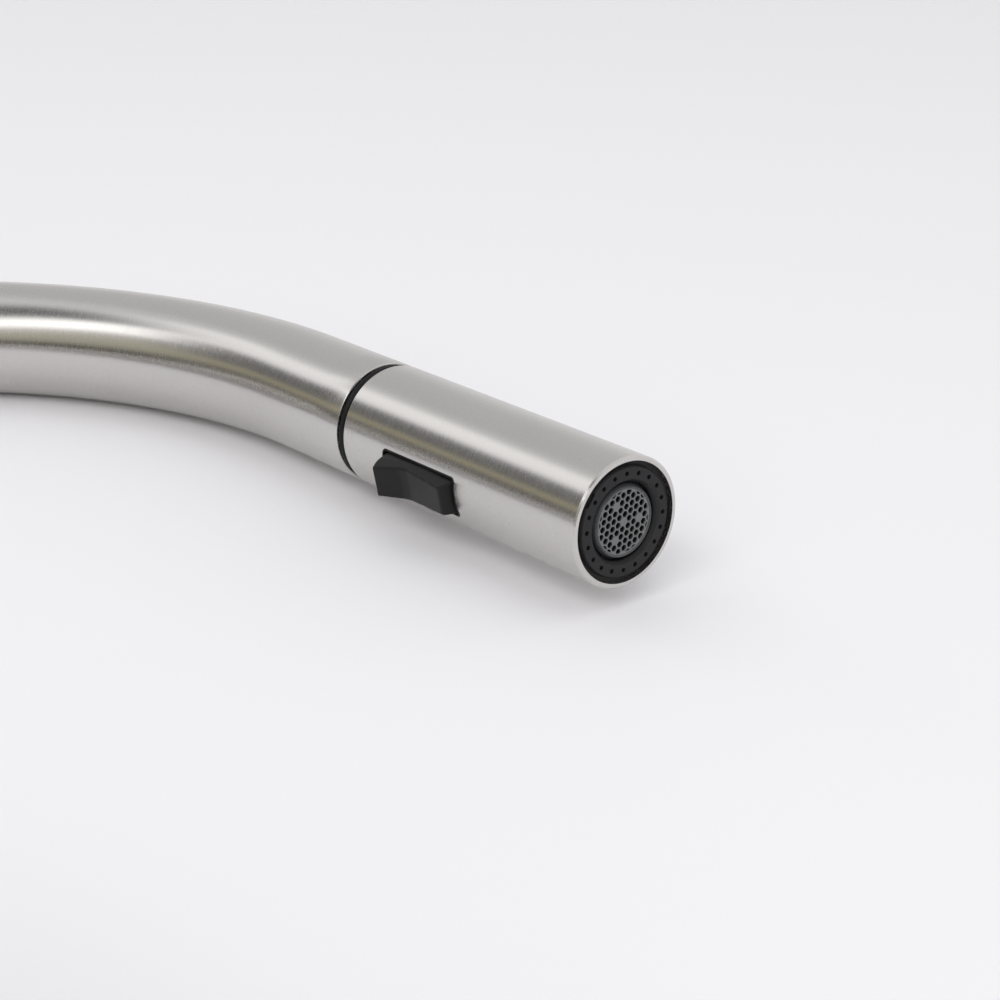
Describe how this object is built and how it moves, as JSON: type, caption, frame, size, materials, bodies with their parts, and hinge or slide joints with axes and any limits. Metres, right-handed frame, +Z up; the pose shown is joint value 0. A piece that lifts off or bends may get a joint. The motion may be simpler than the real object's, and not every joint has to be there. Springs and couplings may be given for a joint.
{
  "type": "pull-down kitchen faucet",
  "caption": "Side-lever kitchen mixer with a swivelling gooseneck spout and a pull-down spray head that docks in its end and has a rocker switch.",
  "frame": {"origin": "middle of the deck hole, on the deck's top face, under the base gasket", "axes": "+Z up along the riser, the spout reaches towards -Y, the lever stands on the -X side"},
  "size_m": [0.0905, 0.279, 0.538],
  "materials": {
    "stainless": "brushed around the axis",
    "black_plastic": "matte, moulded",
    "charcoal_plate": "matte, moulded",
    "grey_plastic": "satin, moulded",
    "white_plastic": "satin, moulded",
    "rubber": "matte",
    "brass": "turned",
    "zinc_steel": "zinc plated or plain",
    "copper": "drawn copper tube",
    "ceramic": "lapped",
    "hose": "braided nylon",
    "nut_grey": "satin, moulded"
  },
  "bodies": {
    "faucet_body": {"base_gasket": "rubber", "base_flange": "stainless", "body_shell": "stainless", "valve_core": "brass", "shank": "brass", "core_clip": "zinc_steel", "clamp_gasket": "rubber", "clamp_plate": "zinc_steel", "mounting_nut": "brass", "jack_screws": "zinc_steel", "lower_bearing": "white_plastic", "upper_bearing": "white_plastic", "bearing_screw": "zinc_steel", "inlet_strainers": "white_plastic", "outlet_tube": "copper", "outlet_nipple": "brass", "outlet_seals": "rubber", "cartridge_shell": "white_plastic", "port_seal": "rubber", "fixed_disc": "ceramic", "cartridge_nut": "brass", "hose_riser": "hose", "hose_tail": "brass", "tail_seals": "rubber"},
    "spout": {"spout_tube": "stainless", "spout_collar": "brass", "spout_seal": "rubber", "dock_insert": "black_plastic", "dock_ring": "rubber", "hose_arc": "hose", "hose_bush": "white_plastic"},
    "hose_end": {"hose_exit": "hose", "hose_nut": "nut_grey", "hose_ferrule": "zinc_steel"},
    "spray_head": {"nut_seal": "rubber", "head_shell": "stainless", "head_core": "black_plastic", "face_plate": "charcoal_plate", "face_seal": "rubber", "aerator_housing": "grey_plastic", "aerator_grid": "grey_plastic", "aerator_screen": "zinc_steel", "aerator_seal": "rubber", "rocker_frame": "black_plastic", "rocker_pin": "zinc_steel", "valve_seat": "white_plastic"},
    "rocker": {"rocker": "black_plastic"},
    "diverter": {"diverter_spool": "white_plastic", "spool_seals": "rubber"},
    "check_valve": {"check_poppet": "white_plastic", "check_spring": "zinc_steel"},
    "lever_swivel": {"stem_carrier": "white_plastic", "stem_pin": "zinc_steel", "dome_collar": "black_plastic"},
    "lever": {"lever_stem": "zinc_steel", "lever_hub": "stainless", "lever_rod": "stainless", "hub_screw": "zinc_steel", "hub_plug": "grey_plastic"},
    "ceramic_slide": {"moving_disc": "ceramic"}
  },
  "joints": [
    {"name": "spout_swivel", "type": "hinge", "parent": "faucet_body", "child": "spout", "pos_m": [0, 0, 0.1], "axis": [0, 0, 1], "range_deg": [-75, 75]},
    {"name": "head_pull", "type": "slide", "parent": "spout", "child": "hose_end", "axis": [0, 0, -1], "range_m": [0, 0.35], "deforming": ["hose_exit"]},
    {"name": "head_turn", "type": "hinge", "parent": "hose_end", "child": "spray_head", "pos_m": [0, -0.236, 0.28], "axis": [0, 0, 1], "continuous": true},
    {"name": "rocker_tilt", "type": "hinge", "parent": "spray_head", "child": "rocker", "pos_m": [0.00233, -0.22576, 0.25], "axis": [0.9751, -0.2215, 0], "range_deg": [0, 22]},
    {"name": "diverter_slide", "type": "slide", "parent": "spray_head", "child": "diverter", "axis": [0, 0, -1], "range_m": [0, 0.00321]},
    {"name": "check_lift", "type": "slide", "parent": "spray_head", "child": "check_valve", "axis": [0, 0, -1], "range_m": [0, 0.0015], "stiffness_N_per_m": 60, "springref_m": -0.002, "deforming": ["check_spring"]},
    {"name": "lever_turn", "type": "hinge", "parent": "faucet_body", "child": "lever_swivel", "pos_m": [-0.033, 0, 0.058], "axis": [-1, 0, 0], "range_deg": [-45, 45]},
    {"name": "lever_lift", "type": "hinge", "parent": "lever_swivel", "child": "lever", "pos_m": [-0.033, 0, 0.058], "axis": [0, -1, 0], "range_deg": [0, 20]},
    {"name": "ceramic_slide", "type": "slide", "parent": "lever_swivel", "child": "ceramic_slide", "axis": [0, 0, 1], "range_m": [0, 0.00396]}
  ],
  "couplings": [
    {"joint": "rocker_tilt", "follows": "diverter_slide", "rad_per_m": 119.76},
    {"joint": "ceramic_slide", "follows": "lever_lift", "m_per_rad": 0.011316}
  ]
}
